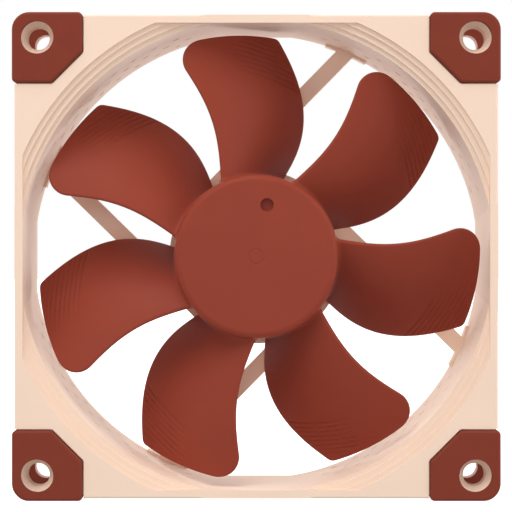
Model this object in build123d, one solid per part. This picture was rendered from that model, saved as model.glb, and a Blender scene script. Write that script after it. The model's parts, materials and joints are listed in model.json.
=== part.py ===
from build123d import *
import math
import os

# A square case fan: a moulded frame with rubber corner pads carries a small brushless motor,
# and a seven-bladed impeller turns on it.
# Frame of reference: origin at the middle of the fan, on the spin axis. +X right, +Z up, and
# +Y from the air inlet to the outlet, so the impeller faces -Y. All sizes are in millimetres.

# ------------------------------------------------------------------ driving dimensions

# Moulded frame
FRAME_SIDE = 91.0            # outside width and height, without the pads
FRAME_DEPTH = 24.0           # inlet face to outlet face, without the pads
FLANGE_THICKNESS = 6.0       # corner plates at the inlet and at the outlet
FRAME_CORNER = 3.6           # corner radius seen from the front
WALL = 1.5                   # wall of the duct
CORNER_SWELL = 1.0           # how far the round duct reaches past the flat inner sides
DUCT_TAPER = 0.9             # how much the duct's radius shrinks from inlet to outlet
FLAT_DRAFT = 0.45            # how much each flat inner side leans in, from inlet to outlet
STEP_TREADS = (0.8, 1.15, 1.0)   # widths of the inlet steps, from the duct outwards
STEP_DEPTH = 0.6             # height of each inlet step
EDGE_BREAK = 0.3             # chamfer around the two outer faces

# Corner screw holes
HOLE_INSET = 4.25            # hole centre to the frame's side
SCREW_HOLE_D = 4.3           # the standard hole for fan screws
LEAD_IN = 1.6                # depth of the cone that leads into each hole

# Rubber corner pads
PAD_LENGTH = 13.3            # along each side of the fan
PAD_CHAMFER = 5.8            # leg of the cut inner corner
PAD_PROUD = 0.5              # how far a pad stands out of the frame, at its faces and sides
PAD_SKIN = 1.5               # layer on the outer face
PAD_UNDER = 1.0              # layer behind the flange
PAD_WALL = 1.0               # layer around the flange's edge
PAD_CORNER = 3.3             # radius at the fan's corner
PAD_SMALL_CORNER = 0.9       # radius at the pad's other corners
PAD_EDGE = 0.6               # rounding of the pad's outer edge
PAD_HOLE_D = 6.2             # hole in the outer layer, around the cone of the screw hole
PAD_GAP = 0.25               # gap between a pad and the frame around it

# Impeller
BLADES = 7
HUB_RADIUS = 15.5
HUB_WALL = 1.3
HUB_SETBACK = 1.0            # hub face behind the front of the pads
HUB_CLEARANCE = 0.7          # back of the hub to the motor base
HUB_EDGE = 1.3               # rounding of the hub's front edge
TIP_GAP = 0.85               # blade tip to the flat inner side of the frame
BLADE_PHASE = 91.25          # angle of the first blade's root
LEADING_SWEEP = (24.0, 17.1, 18.1, 20.8)       # degrees from the root line, hub to tip
TRAILING_SWEEP = (-19.6, -22.1, -15.9, -6.8)   # at the same four radii
ROOT_FRONT = 2.1             # leading edge behind the hub's face, at the hub
TIP_FRONT = 3.0              # the same at the tip
ROOT_BACK = 1.3              # trailing edge in front of the hub's back end, at the hub
TIP_BACK = 2.0               # the same at the tip
CAMBER = 0.4                 # how much steeper the blade grows towards its trailing edge
ROOT_THICKNESS = 1.9         # at the thickest place along the chord
TIP_THICKNESS = 1.2
EDGE_SHARE = 0.45            # thickness of the blade's edges, as a share of that
LEADING_CORNER = 4.0         # corner radii of the blade tip
TRAILING_CORNER = 1.5
DOT_D = 2.5                  # round pocket in the hub's face
DOT_RADIUS = 9.95            # its distance from the axis
DOT_ANGLE = 78.3
DOT_DEPTH = 1.0
GATE_RING_D = 3.1            # shallow ring at the middle of the hub's face
GATE_RING_WIDTH = 0.35
GATE_RING_DEPTH = 0.15

# Motor support and struts
BASE_MARGIN = 1.6            # motor base beyond the hub
BASE_THICKNESS = 3.0
BASE_RIM = 1.4               # height and width of the rim around the circuit board
BASE_RISE = 0.4              # motor base in front of the outlet face
STRUTS = 4
STRUT_WIDTH = 3.15
STRUT_THICKNESS = 3.0
STRUT_ANGLE = 45.6           # direction of the first strut
STRUT_LAND = 0.4             # thickening of the duct where a strut joins it
STRUT_LAND_SPAN = 11.2       # its width in degrees
WIRE_STRUT = 3               # the strut that carries the wires
WIRE_CHANNEL_WIDTH = 1.75
WIRE_CHANNEL_DEPTH = 1.6

# Bearing
SHAFT_RADIUS = 1.5
SHAFT_PLAY = 0.03            # radial clearance of the shaft in its sleeve
SLEEVE_WALL = 1.45
TUBE_WALL = 1.4
PRESS_GAP = 0.02             # between parts that are pressed or glued together
END_PLAY = 0.1               # shaft end to thrust plate
SEAL_THICKNESS = 0.6
SEAL_PLAY = 0.12             # shaft to oil seal
THRUST_PLATE_THICKNESS = 0.7
THRUST_MAGNET_THICKNESS = 0.8
END_CAP_THICKNESS = 0.5
RING_THICKNESS = 0.35        # retaining ring
RING_GROOVE = 0.35           # depth of its groove in the shaft
RING_WIDTH = 1.1
RING_SPLIT = 0.8
RING_PLAY = 0.09             # the ring to each side of its groove
RING_INSET = 1.05            # front of the ring to the end of the shaft
BOSS_WALL = 1.8              # brass boss around the shaft, in the hub
BOSS_LENGTH = 3.9
BOSS_CLEARANCE = 1.1         # boss to the bearing tube
SEAL_RECESS = 0.3            # oil seal behind the front of the tube

# Motor
YOKE_WALL = 0.7
YOKE_SETBACK = 0.3           # yoke in front of the hub's back end
MAGNET_WALL = 1.1
MAGNET_SETBACK = 0.6         # magnet in front of the yoke's back end
MAGNET_FRONT_GAP = 2.7       # front of the magnet to the inside of the yoke
AIR_GAP = 0.75
MAGNET_OVERHANG = 2.7        # magnet beyond each end of the stator's steel
STATOR_RING = 1.7            # width of the ring around the bearing tube
POLES = 4
POLE_WIDTH = 3.2
POLE_SHOE = 1.4              # thickness of the curved shoe at a pole's end
POLE_SPAN = 74.0             # degrees covered by one pole shoe
INSULATOR_THICKNESS = 1.2
COIL_BUILD = 1.6             # thickness of the winding
COIL_GAP = 0.1
INSULATOR_LIP = 1.9          # height of the lip that holds the winding
LIP_WIDTH = 1.0
BOARD_THICKNESS = 1.0
BOARD_GAP = 0.15             # board edge to the rim
PIN_RADIUS = 0.3
PIN_COUNT = 3
PIN_CIRCLE = 8.9             # distance of the pins from the axis
PIN_ANGLE = 45.0
PIN_TAB_RADIUS = 0.9
PIN_START = 0.3              # pins begin this far behind the front of the rear insulator
LABEL_THICKNESS = 0.3
LABEL_MARGIN = 1.9           # label edge to the edge of the base

# Circuit board components: length, width and height, and where they stand
CHIP_SIZE = (4.0, 5.0, 1.1)
CHIP_ANGLE = -45.0
SENSOR_SIZE = (1.6, 2.9, 0.9)
SENSOR_INSET = 2.0           # sensor to the edge of the board, next to the magnet
CAPACITOR_SIZE = (2.0, 1.25, 0.8)
CAPACITOR_ANGLES = (80, 100, 180)
RESISTOR_SIZE = (1.6, 0.8, 0.45)
RESISTOR_ANGLES = (150, 165, 200, 215, 250)
SMALL_PARTS_OUT = 2.5        # capacitors and resistors beyond the middle of the board's ring

# Modelling
OVER = 1.0                   # how far a cutting shape reaches past what it cuts
PLAN_ROOM = 0.25             # how far a blade's outline reaches past its edges, before the cut
BLADE_STEPS = 12             # points along each side of a blade section
BLADE_SECTIONS = 6           # sections from hub to tip
PLAN_STEPS = 6               # points along each edge of a blade's outline
SETTLING_ROUNDS = 20         # rounds in which a point settles on its flat section
FULLEST_FRONT = 1.2          # share that makes a blade thicker towards its leading edge
FULLEST_FALL = 0.4           # how much of that share is lost on the way to the trailing edge
NEAR = 1e-6                  # two depths closer than this are the same

# ------------------------------------------------------------------ sizes worked out from them

HALF_SIDE = FRAME_SIDE / 2
FRAME_FRONT = -FRAME_DEPTH / 2
FRAME_BACK = FRAME_DEPTH / 2
PAD_HALF_SIDE = HALF_SIDE + PAD_PROUD
PAD_FRONT = FRAME_FRONT - PAD_PROUD
HOLE_PLACE = HALF_SIDE - HOLE_INSET
FLAT_FRONT = HALF_SIDE - WALL
FLAT_BACK = FLAT_FRONT - FLAT_DRAFT
DUCT_FRONT_RADIUS = FLAT_FRONT + CORNER_SWELL
DUCT_BACK_RADIUS = DUCT_FRONT_RADIUS - DUCT_TAPER
DUCT_OUTER_RADIUS = DUCT_FRONT_RADIUS + WALL

BASE_RADIUS = HUB_RADIUS + BASE_MARGIN
BASE_BACK = FRAME_BACK - BASE_RISE
BASE_FRONT = BASE_BACK - BASE_THICKNESS
HUB_FRONT = PAD_FRONT + HUB_SETBACK
HUB_BACK = BASE_FRONT - BASE_RIM - HUB_CLEARANCE
HUB_INSIDE = HUB_FRONT + HUB_WALL
TIP_RADIUS = FLAT_BACK - TIP_GAP
STRUT_OFFSET = BASE_RADIUS - STRUT_WIDTH / 2

YOKE_RADIUS = HUB_RADIUS - HUB_WALL - PRESS_GAP
MAGNET_RADIUS = YOKE_RADIUS - YOKE_WALL - PRESS_GAP
STATOR_RADIUS = MAGNET_RADIUS - MAGNET_WALL - AIR_GAP
YOKE_BACK = HUB_BACK - YOKE_SETBACK
MAGNET_BACK = YOKE_BACK - MAGNET_SETBACK
MAGNET_FRONT = HUB_INSIDE + YOKE_WALL + MAGNET_FRONT_GAP

SLEEVE_BORE = SHAFT_RADIUS + SHAFT_PLAY
SLEEVE_RADIUS = SLEEVE_BORE + SLEEVE_WALL
TUBE_BORE = SLEEVE_RADIUS + PRESS_GAP
TUBE_RADIUS = TUBE_BORE + TUBE_WALL
STATOR_BORE = TUBE_RADIUS + PRESS_GAP
BOSS_RADIUS = SHAFT_RADIUS + PRESS_GAP + BOSS_WALL

CAP_BACK = BASE_BACK - LABEL_THICKNESS
CAP_FRONT = CAP_BACK - END_CAP_THICKNESS
THRUST_MAGNET_FRONT = CAP_FRONT - THRUST_MAGNET_THICKNESS
THRUST_PLATE_FRONT = THRUST_MAGNET_FRONT - THRUST_PLATE_THICKNESS
SHAFT_BACK = THRUST_PLATE_FRONT - END_PLAY
RING_FRONT = SHAFT_BACK - RING_INSET
TUBE_FRONT = HUB_INSIDE + BOSS_LENGTH + BOSS_CLEARANCE
SEAL_FRONT = TUBE_FRONT + SEAL_RECESS
SLEEVE_FRONT = SEAL_FRONT + SEAL_THICKNESS
SLEEVE_BACK = RING_FRONT - RING_THICKNESS

BOARD_BACK = BASE_FRONT
BOARD_FRONT = BOARD_BACK - BOARD_THICKNESS
BOARD_RADIUS = BASE_RADIUS - BASE_RIM - BOARD_GAP
COIL_HALF = POLE_WIDTH / 2 + COIL_GAP + COIL_BUILD
COIL_END = math.sqrt((STATOR_RADIUS - POLE_SHOE) ** 2 - COIL_HALF ** 2) - COIL_GAP
LIP_INNER = COIL_END + COIL_GAP
STATOR_FRONT = MAGNET_FRONT + MAGNET_OVERHANG
STATOR_BACK = MAGNET_BACK - MAGNET_OVERHANG


# ------------------------------------------------------------------ drawing helpers

def slab(outline, front, back):
    """Extrude an outline, drawn as seen from the front, between two depths."""
    return extrude(Plane.XZ.offset(-back) * outline, back - front)


def turned(*corners):
    """Turn a closed profile of (radius, depth) corners about the spin axis."""
    return revolve(make_face(Polyline(*corners, close=True)), Axis.Y)


def tube(outer, inner, front, back):
    """A plain ring around the spin axis."""
    return slab(Circle(outer) - Circle(inner), front, back)


def around(angle, shape):
    """Turn a shape about the spin axis, anticlockwise as seen from the front."""
    return Rot(0, -angle, 0) * shape


def polar(radius, angle):
    """A point of the front view, from its distance and angle."""
    return radius * math.cos(math.radians(angle)), radius * math.sin(math.radians(angle))


def sector(radius, angle, span):
    """A wedge of a disc, with its middle at an angle."""
    half = span / 2
    rim = ThreePointArc(polar(radius, angle - half), polar(radius, angle), polar(radius, angle + half))
    sides = Polyline(polar(radius, angle + half), (0, 0), polar(radius, angle - half))
    return make_face([rim, sides])


def bar(inner, outer, half_width):
    """A rectangle of the front view that points to the right."""
    return Pos((inner + outer) / 2, 0) * Rectangle(outer - inner, 2 * half_width)


# ------------------------------------------------------------------ corner pads

def pad_outline(grow=0.0):
    """Pad of the top right corner, seen from the front: a square with its inner corner cut."""
    outer = PAD_HALF_SIDE + grow
    inner = PAD_HALF_SIDE - PAD_LENGTH - grow
    cut = inner + PAD_CHAMFER + grow * (2 - math.sqrt(2))
    shape = make_face(Polyline(
        (outer, outer), (inner, outer), (inner, cut), (cut, inner), (outer, inner), close=True,
    ))
    far = shape.vertices().sort_by(lambda v: v.X + v.Z + v.Y)[-1]
    others = [v for v in shape.vertices() if v != far]
    shape = fillet(others, PAD_SMALL_CORNER)
    far = shape.vertices().sort_by(lambda v: v.X + v.Z + v.Y)[-1]
    return fillet(far, PAD_CORNER + grow)


def tongue_outline(gap=0.0):
    """The edge of the flange inside a pad, reaching well past the pad's inner side."""
    edge = PAD_HALF_SIDE - PAD_WALL - gap
    size = 2 * edge
    return RectangleRounded(size, size, PAD_CORNER - PAD_WALL)


def front_pad():
    """Rubber sleeve over the top right corner of the inlet flange."""
    back = FRAME_FRONT + FLANGE_THICKNESS + PAD_UNDER
    body = slab(pad_outline(), PAD_FRONT, back)
    rim = [e for e in body.edges() if abs(e.center().Y - PAD_FRONT) < NEAR]
    body = fillet(rim, PAD_EDGE)
    body -= slab(tongue_outline(), PAD_FRONT + PAD_SKIN, FRAME_FRONT + FLANGE_THICKNESS)
    place = Pos(HOLE_PLACE, HOLE_PLACE)
    body -= slab(place * Circle(PAD_HOLE_D / 2), PAD_FRONT - OVER, FRAME_FRONT + FLANGE_THICKNESS)
    body -= slab(place * Circle(SCREW_HOLE_D / 2), FRAME_FRONT, back + OVER)
    return body


def corner_pads():
    """Four pads on the inlet side and four on the outlet side, named by place."""
    names = ("top_right", "top_left", "bottom_left", "bottom_right")
    pads = {}
    for turn, name in enumerate(names):
        pad = around(90 * turn, front_pad())
        pads[f"front_pad_{name}"] = pad
        pads[f"rear_pad_{name}"] = mirror(pad, Plane.XZ)
    return pads


# ------------------------------------------------------------------ frame

def duct_space():
    """The air passage: a round duct cut by four flat sides, with steps at the inlet corners."""
    lean = DUCT_TAPER / FRAME_DEPTH
    space = turned(
        (0, FRAME_FRONT - OVER), (DUCT_FRONT_RADIUS + OVER * lean, FRAME_FRONT - OVER),
        (DUCT_BACK_RADIUS - OVER * lean, FRAME_BACK + OVER), (0, FRAME_BACK + OVER),
    )
    radius = DUCT_FRONT_RADIUS
    for number, tread in enumerate(STEP_TREADS):
        radius += tread
        depth = (len(STEP_TREADS) - number) * STEP_DEPTH
        space += tube(radius, DUCT_BACK_RADIUS, FRAME_FRONT - OVER, FRAME_FRONT + depth)
    slope = FLAT_DRAFT / FRAME_DEPTH
    front = 2 * (FLAT_FRONT + OVER * slope)
    back = 2 * (FLAT_BACK - OVER * slope)
    flats = loft([
        Plane.XZ.offset(-(FRAME_FRONT - OVER)) * Rectangle(front, front),
        Plane.XZ.offset(-(FRAME_BACK + OVER)) * Rectangle(back, back),
    ])
    return space & flats


def flange(front):
    """One square plate, without its pad seats."""
    plate = slab(RectangleRounded(FRAME_SIDE, FRAME_SIDE, FRAME_CORNER), front, front + FLANGE_THICKNESS)
    outer_face = front if front < 0 else front + FLANGE_THICKNESS
    edges = [e for e in plate.edges() if abs(e.center().Y - outer_face) < NEAR]
    return chamfer(edges, EDGE_BREAK)


def pad_seats():
    """Space that the eight pads take up around the flanges' corners."""
    depth = FRAME_FRONT + FLANGE_THICKNESS + PAD_UNDER
    seat = slab(pad_outline(PAD_GAP), PAD_FRONT - OVER, depth)
    front = [around(90 * turn, seat) for turn in range(4)]
    return front + [mirror(shape, Plane.XZ) for shape in front]


def tongues():
    """Thinner flange corners that the pads are pushed over, with the screw holes' cones."""
    place = Pos(HOLE_PLACE, HOLE_PLACE)
    front = PAD_FRONT + PAD_SKIN
    back = FRAME_FRONT + FLANGE_THICKNESS
    plan = tongue_outline(PRESS_GAP) & pad_outline(2 * PAD_GAP)
    body = slab(plan, front, back)
    radius = SCREW_HOLE_D / 2
    cone = revolve(
        make_face(Polyline(
            (0, front), (PAD_HOLE_D / 2, front), (radius, front + LEAD_IN),
            (radius, back + OVER), (0, back + OVER), close=True,
        )),
        Axis.Y,
    )
    body -= Pos(HOLE_PLACE, 0, HOLE_PLACE) * cone
    front_tongues = [around(90 * turn, body) for turn in range(4)]
    return front_tongues + [mirror(shape, Plane.XZ) for shape in front_tongues]


def strut(number):
    """A straight strut that leaves the motor base along its edge and ends in the duct wall."""
    reach = math.sqrt((DUCT_BACK_RADIUS + WALL / 2) ** 2 - STRUT_OFFSET ** 2)
    plan = Pos(reach / 2, STRUT_OFFSET) * Rectangle(reach, STRUT_WIDTH)
    body = slab(plan, BASE_BACK - STRUT_THICKNESS, BASE_BACK)
    return around(STRUT_ANGLE + number * 360 / STRUTS, body)


def strut_land(number):
    """Thicker stretch of the duct wall where a strut ends."""
    lean = math.degrees(math.asin(STRUT_OFFSET / DUCT_BACK_RADIUS))
    angle = STRUT_ANGLE + lean + number * 360 / STRUTS
    plan = sector(DUCT_BACK_RADIUS + WALL / 2, angle, STRUT_LAND_SPAN)
    plan -= Circle(DUCT_BACK_RADIUS - STRUT_LAND)
    return slab(plan, BASE_BACK - STRUT_THICKNESS, FRAME_BACK)


def motor_base():
    """Round plate behind the hub, with a rim around the circuit board."""
    return slab(Circle(BASE_RADIUS), BASE_FRONT - BASE_RIM, BASE_BACK)


def base_recesses():
    """Room for the circuit board, the label and the bearing tube."""
    board = slab(Circle(BASE_RADIUS - BASE_RIM), BASE_FRONT - BASE_RIM - OVER, BASE_FRONT)
    label = slab(Circle(BASE_RADIUS - LABEL_MARGIN), CAP_BACK, BASE_BACK + OVER)
    tube_hole = slab(Circle(TUBE_RADIUS + PRESS_GAP), BASE_FRONT - OVER, BASE_BACK + OVER)
    return [board, label, tube_hole]


def wire_channel():
    """Groove for the wires: along one strut, across the duct wall and out of the outlet flange."""
    start = BASE_RADIUS - LABEL_MARGIN - BOARD_GAP
    inner = math.sqrt(max(start ** 2 - STRUT_OFFSET ** 2, 0))
    outer = FRAME_SIDE
    plan = Pos((inner + outer) / 2, STRUT_OFFSET) * Rectangle(outer - inner, WIRE_CHANNEL_WIDTH)
    groove = slab(plan, BASE_BACK - WIRE_CHANNEL_DEPTH, FRAME_BACK + OVER)
    return around(STRUT_ANGLE + WIRE_STRUT * 360 / STRUTS, groove)


def frame():
    """The whole moulding: two flanges, duct wall, struts and motor base in one piece."""
    body = slab(Circle(DUCT_OUTER_RADIUS) & Rectangle(FRAME_SIDE, FRAME_SIDE), FRAME_FRONT, FRAME_BACK)
    body += flange(FRAME_FRONT)
    body += flange(FRAME_BACK - FLANGE_THICKNESS)
    body -= pad_seats()
    body += tongues()
    body -= duct_space()
    body += [strut(number) for number in range(STRUTS)]
    body += [strut_land(number) for number in range(STRUTS)]
    body += motor_base()
    return body - base_recesses() - wire_channel()


# ------------------------------------------------------------------ impeller

def eased(values, span):
    """Smooth curve through values given at even steps from 0 to 1."""
    last = len(values) - 1
    total = 0.0
    for i, value in enumerate(values):
        weight = value
        for j in range(len(values)):
            if j != i:
                weight *= (span * last - j) / (i - j)
        total += weight
    return total


def blade_point(radius, chord):
    """Angle and depth of the blade's middle surface; chord runs from leading to trailing edge."""
    span = (radius - HUB_RADIUS) / (TIP_RADIUS - HUB_RADIUS)
    leading = eased(LEADING_SWEEP, span)
    trailing = eased(TRAILING_SWEEP, span)
    front = HUB_FRONT + ROOT_FRONT + (TIP_FRONT - ROOT_FRONT) * span
    back = HUB_BACK - ROOT_BACK + (ROOT_BACK - TIP_BACK) * span
    fall = (1 - CAMBER) * chord + CAMBER * chord ** 2
    return leading + (trailing - leading) * chord, front + (back - front) * fall


def blade_section(distance):
    """Closed outline of the blade on a flat plane across it, at a distance from the axis."""
    middle = []
    for step in range(BLADE_STEPS + 1):
        chord = step / BLADE_STEPS
        radius = distance
        for _ in range(SETTLING_ROUNDS):
            angle, depth = blade_point(radius, chord)
            radius = distance / math.cos(math.radians(angle))
        middle.append(Vector(distance * math.tan(math.radians(angle)), depth))
    span = (distance - HUB_RADIUS) / (TIP_RADIUS - HUB_RADIUS)
    thick = ROOT_THICKNESS + (TIP_THICKNESS - ROOT_THICKNESS) * span
    front_side, back_side = [], []
    for step in range(BLADE_STEPS + 1):
        chord = step / BLADE_STEPS
        along = (middle[min(step + 1, BLADE_STEPS)] - middle[max(step - 1, 0)]).normalized()
        bulge = 4 * chord * (1 - chord) * (FULLEST_FRONT - FULLEST_FALL * chord)
        half = thick / 2 * (EDGE_SHARE + (1 - EDGE_SHARE) * bulge)
        across = Vector(-along.Y, along.X) * half
        front_side.append(middle[step] - across)
        back_side.append(middle[step] + across)
    plane = Plane(origin=(distance, 0, 0), x_dir=(0, 0, 1), z_dir=(-1, 0, 0))
    front_side = [plane.from_local_coords((point.X, point.Y, 0)) for point in front_side]
    back_side = [plane.from_local_coords((point.X, point.Y, 0)) for point in back_side]
    return make_face([
        Spline(*front_side), Line(front_side[-1], back_side[-1]),
        Spline(*back_side[::-1]), Line(back_side[0], front_side[0]),
    ])


def blade_plan():
    """Outline of one blade seen from the front, a little wide, with the two rounded tip corners."""
    start = HUB_RADIUS - HUB_WALL
    leading, trailing = [], []
    for step in range(PLAN_STEPS + 1):
        radius = start + (TIP_RADIUS - start) * step / PLAN_STEPS
        grow = math.degrees(PLAN_ROOM / radius)
        leading.append(polar(radius, blade_point(radius, 0)[0] + grow))
        trailing.append(polar(radius, blade_point(radius, 1)[0] - grow))
    middle = blade_point(TIP_RADIUS, 0.5)[0]
    plan = make_face([
        Spline(*leading),
        ThreePointArc(leading[-1], polar(TIP_RADIUS, middle), trailing[-1]),
        Spline(*trailing[::-1]),
        Line(trailing[0], leading[0]),
    ])
    for corner, radius in ((leading[-1], LEADING_CORNER), (trailing[-1], TRAILING_CORNER)):
        nearest = min(plan.vertices(), key=lambda v: math.dist((v.X, v.Y), corner))
        plan = fillet(nearest, radius)
    return plan


def blade():
    """One blade, pointing to the right, from inside the hub's wall to the tip."""
    start = HUB_RADIUS * math.cos(math.radians(LEADING_SWEEP[0])) - HUB_WALL / 2
    end = TIP_RADIUS + TIP_THICKNESS / 2
    step = (end - start) / (BLADE_SECTIONS - 1)
    shape = loft([blade_section(start + step * i) for i in range(BLADE_SECTIONS)])
    return shape & slab(blade_plan(), HUB_FRONT, HUB_BACK)


def hub_shell():
    """Round cup open to the back, with the pocket and the ring in its face."""
    inner = HUB_RADIUS - HUB_WALL
    cup = turned(
        (0, HUB_FRONT), (HUB_RADIUS, HUB_FRONT), (HUB_RADIUS, HUB_BACK),
        (inner, HUB_BACK), (inner, HUB_INSIDE), (0, HUB_INSIDE),
    )
    rim = [e for e in cup.edges() if abs(e.center().Y - HUB_FRONT) < NEAR]
    cup = fillet(rim, HUB_EDGE)
    dot = Pos(*polar(DOT_RADIUS, DOT_ANGLE)) * Circle(DOT_D / 2)
    cup -= slab(dot, HUB_FRONT - OVER, HUB_FRONT + DOT_DEPTH)
    gate = GATE_RING_D / 2
    return cup - tube(gate, gate - GATE_RING_WIDTH, HUB_FRONT - OVER, HUB_FRONT + GATE_RING_DEPTH)


def impeller():
    """Hub and blades, moulded in one piece."""
    blade_room = tube(TIP_RADIUS + OVER, HUB_RADIUS - HUB_WALL / 2, HUB_FRONT, HUB_BACK)
    single = blade() & blade_room
    return hub_shell() + [around(BLADE_PHASE + n * 360 / BLADES, single) for n in range(BLADES)]


# ------------------------------------------------------------------ turning parts of the motor

def yoke_cup():
    """Drawn steel cup that carries the magnet and closes its field."""
    inner = YOKE_RADIUS - YOKE_WALL
    hole = BOSS_RADIUS + PRESS_GAP
    return turned(
        (hole, HUB_INSIDE), (YOKE_RADIUS, HUB_INSIDE), (YOKE_RADIUS, YOKE_BACK),
        (inner, YOKE_BACK), (inner, HUB_INSIDE + YOKE_WALL), (hole, HUB_INSIDE + YOKE_WALL),
    )


def ring_magnet():
    """Ferrite ring inside the yoke."""
    return tube(MAGNET_RADIUS, MAGNET_RADIUS - MAGNET_WALL, MAGNET_FRONT, MAGNET_BACK)


def shaft():
    """Steel shaft with a groove for the retaining ring near its end."""
    rod = slab(Circle(SHAFT_RADIUS), HUB_INSIDE, SHAFT_BACK)
    groove = tube(
        SHAFT_RADIUS + OVER, SHAFT_RADIUS - RING_GROOVE, RING_FRONT - RING_PLAY,
        RING_FRONT + RING_THICKNESS + RING_PLAY,
    )
    return rod - groove


def shaft_boss():
    """Brass boss that ties the shaft to the hub."""
    return tube(BOSS_RADIUS, SHAFT_RADIUS + PRESS_GAP, HUB_INSIDE, HUB_INSIDE + BOSS_LENGTH)


def retaining_ring():
    """Split ring in the shaft's groove, which keeps the rotor from pulling out."""
    inner = SHAFT_RADIUS - RING_GROOVE + PRESS_GAP
    plan = Circle(inner + RING_WIDTH) - Circle(inner)
    plan -= bar(0, inner + RING_WIDTH + OVER, RING_SPLIT / 2)
    return slab(plan, RING_FRONT, RING_FRONT + RING_THICKNESS)


# ------------------------------------------------------------------ standing parts of the motor

def bearing_tube():
    """Brass tube that holds the bearing and carries the stator."""
    return tube(TUBE_RADIUS, TUBE_BORE, TUBE_FRONT, CAP_BACK)


def sleeve_bearing():
    """Porous bronze sleeve in which the shaft runs."""
    return tube(SLEEVE_RADIUS, SLEEVE_BORE, SLEEVE_FRONT, SLEEVE_BACK)


def oil_seal():
    """Washer in front of the sleeve."""
    return tube(SLEEVE_RADIUS, SHAFT_RADIUS + SEAL_PLAY, SEAL_FRONT, SLEEVE_FRONT)


def plug(front, thickness):
    """A disc that fills the back of the bearing tube."""
    return slab(Circle(SLEEVE_RADIUS), front, front + thickness)


def stator_core():
    """Stack of steel laminations: a ring and four poles with curved shoes."""
    plan = Circle(STATOR_BORE + STATOR_RING)
    for number in range(POLES):
        angle = number * 360 / POLES
        shoe = sector(STATOR_RADIUS, angle, POLE_SPAN) - Circle(STATOR_RADIUS - POLE_SHOE)
        arm = Rot(0, 0, angle) * bar(STATOR_BORE, STATOR_RADIUS - POLE_SHOE / 2, POLE_WIDTH / 2)
        plan += [shoe, arm]
    plan -= Circle(STATOR_BORE)
    return slab(plan, STATOR_FRONT, STATOR_BACK)


def insulator(front, lip_front, with_pins):
    """Plastic bobbin half on one end of the stator, with a lip behind each winding."""
    plan = Circle(STATOR_BORE + STATOR_RING)
    lips = Sketch()
    for number in range(POLES):
        turn = Rot(0, 0, number * 360 / POLES)
        plan += turn * bar(STATOR_BORE, LIP_INNER, POLE_WIDTH / 2)
        lips += turn * bar(LIP_INNER, LIP_INNER + LIP_WIDTH, COIL_HALF)
    for number in range(PIN_COUNT if with_pins else 0):
        turn = Rot(0, 0, PIN_ANGLE + number * 360 / POLES)
        plan += turn * bar(STATOR_BORE, PIN_CIRCLE, PIN_TAB_RADIUS)
        plan += turn * (Pos(PIN_CIRCLE, 0) * Circle(PIN_TAB_RADIUS))
        plan -= turn * (Pos(PIN_CIRCLE, 0) * Circle(PIN_RADIUS + PRESS_GAP))
    plan -= Circle(STATOR_BORE)
    sheet = slab(plan + lips, front, front + INSULATOR_THICKNESS)
    return sheet + slab(lips, lip_front, lip_front + INSULATOR_LIP)


def coil(number):
    """Winding around one pole, as one solid."""
    inner = STATOR_BORE + STATOR_RING + COIL_GAP
    end = INSULATOR_THICKNESS + COIL_GAP
    block = bar(inner, COIL_END, COIL_HALF)
    body = slab(block, STATOR_FRONT - end - COIL_BUILD, STATOR_BACK + end + COIL_BUILD)
    body = fillet(body.edges().filter_by(Axis.X), COIL_BUILD / 2)
    core = bar(inner - OVER, COIL_END + OVER, POLE_WIDTH / 2 + COIL_GAP)
    body -= slab(core, STATOR_FRONT - end, STATOR_BACK + end)
    return around(number * 360 / POLES, body)


def pins():
    """Winding pins between the rear insulator and the circuit board."""
    single = Pos(PIN_CIRCLE, 0) * Circle(PIN_RADIUS)
    turns = [Rot(0, 0, PIN_ANGLE + number * 360 / POLES) for number in range(PIN_COUNT)]
    return [slab(turn * single, STATOR_BACK + PIN_START, BOARD_BACK) for turn in turns]


def circuit_board():
    """Round board on the motor base, with holes for the bearing tube and the pins."""
    plan = Circle(BOARD_RADIUS) - Circle(TUBE_RADIUS + PRESS_GAP)
    for number in range(PIN_COUNT):
        turn = Rot(0, 0, PIN_ANGLE + number * 360 / POLES)
        plan -= turn * (Pos(PIN_CIRCLE, 0) * Circle(PIN_RADIUS + PRESS_GAP))
    return slab(plan, BOARD_FRONT, BOARD_BACK)


def on_board(radius, angle, size):
    """A rectangular component soldered to the front of the board."""
    length, width, height = size
    plan = Rot(0, 0, angle) * (Pos(radius, 0) * Rectangle(length, width))
    return slab(plan, BOARD_FRONT - height, BOARD_FRONT)


def board_parts():
    """Components of the motor driver."""
    middle = (TUBE_RADIUS + BOARD_RADIUS) / 2
    far = middle + SMALL_PARTS_OUT
    return {
        "driver_chip": on_board(middle, CHIP_ANGLE, CHIP_SIZE),
        "hall_sensor": on_board(BOARD_RADIUS - SENSOR_INSET, 0, SENSOR_SIZE),
        "capacitors": [on_board(far, angle, CAPACITOR_SIZE) for angle in CAPACITOR_ANGLES],
        "resistors": [on_board(far, angle, RESISTOR_SIZE) for angle in RESISTOR_ANGLES],
    }


def rear_label():
    """Blank foil disc over the end of the bearing tube."""
    return slab(Circle(BASE_RADIUS - LABEL_MARGIN - PAD_GAP), CAP_BACK, BASE_BACK)


# ------------------------------------------------------------------ the assembly

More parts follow.
